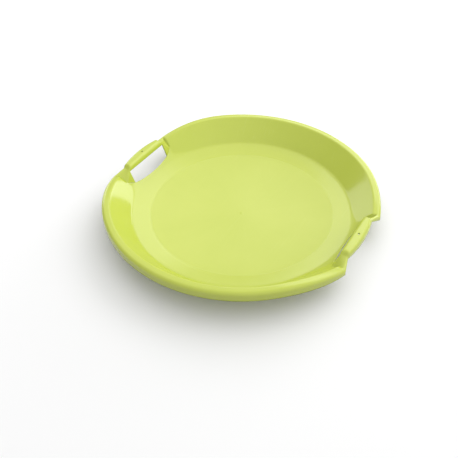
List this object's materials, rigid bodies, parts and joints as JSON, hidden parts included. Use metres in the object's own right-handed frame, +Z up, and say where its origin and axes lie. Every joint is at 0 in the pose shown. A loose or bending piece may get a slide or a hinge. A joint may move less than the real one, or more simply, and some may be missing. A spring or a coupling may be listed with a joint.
{
  "type": "saucer sled",
  "caption": "Round shallow snow saucer with a dished floor, a curved wall, a rolled rim with a turned-down lip, and an arched hand grip over a through slot at either side.",
  "frame": {"origin": "centre of the flat patch under the floor, on the ground", "axes": "+Z up; X across the sled through both hand grips, right grip at +X; the front is -Y"},
  "size_m": [0.5718, 0.6, 0.0751],
  "materials": {
    "moulding": "glossy lime green, satin on the floor, fine moulding texture"
  },
  "bodies": {
    "root": {"floor_pan": "moulding", "shoulder_ring": "moulding", "front_wall": "moulding", "rear_wall": "moulding", "front_rim": "moulding", "rear_rim": "moulding", "left_bay": "moulding", "right_bay": "moulding", "left_grip": "moulding", "right_grip": "moulding", "left_front_cheek": "moulding", "left_rear_cheek": "moulding", "right_front_cheek": "moulding", "right_rear_cheek": "moulding"}
  },
  "joints": []
}
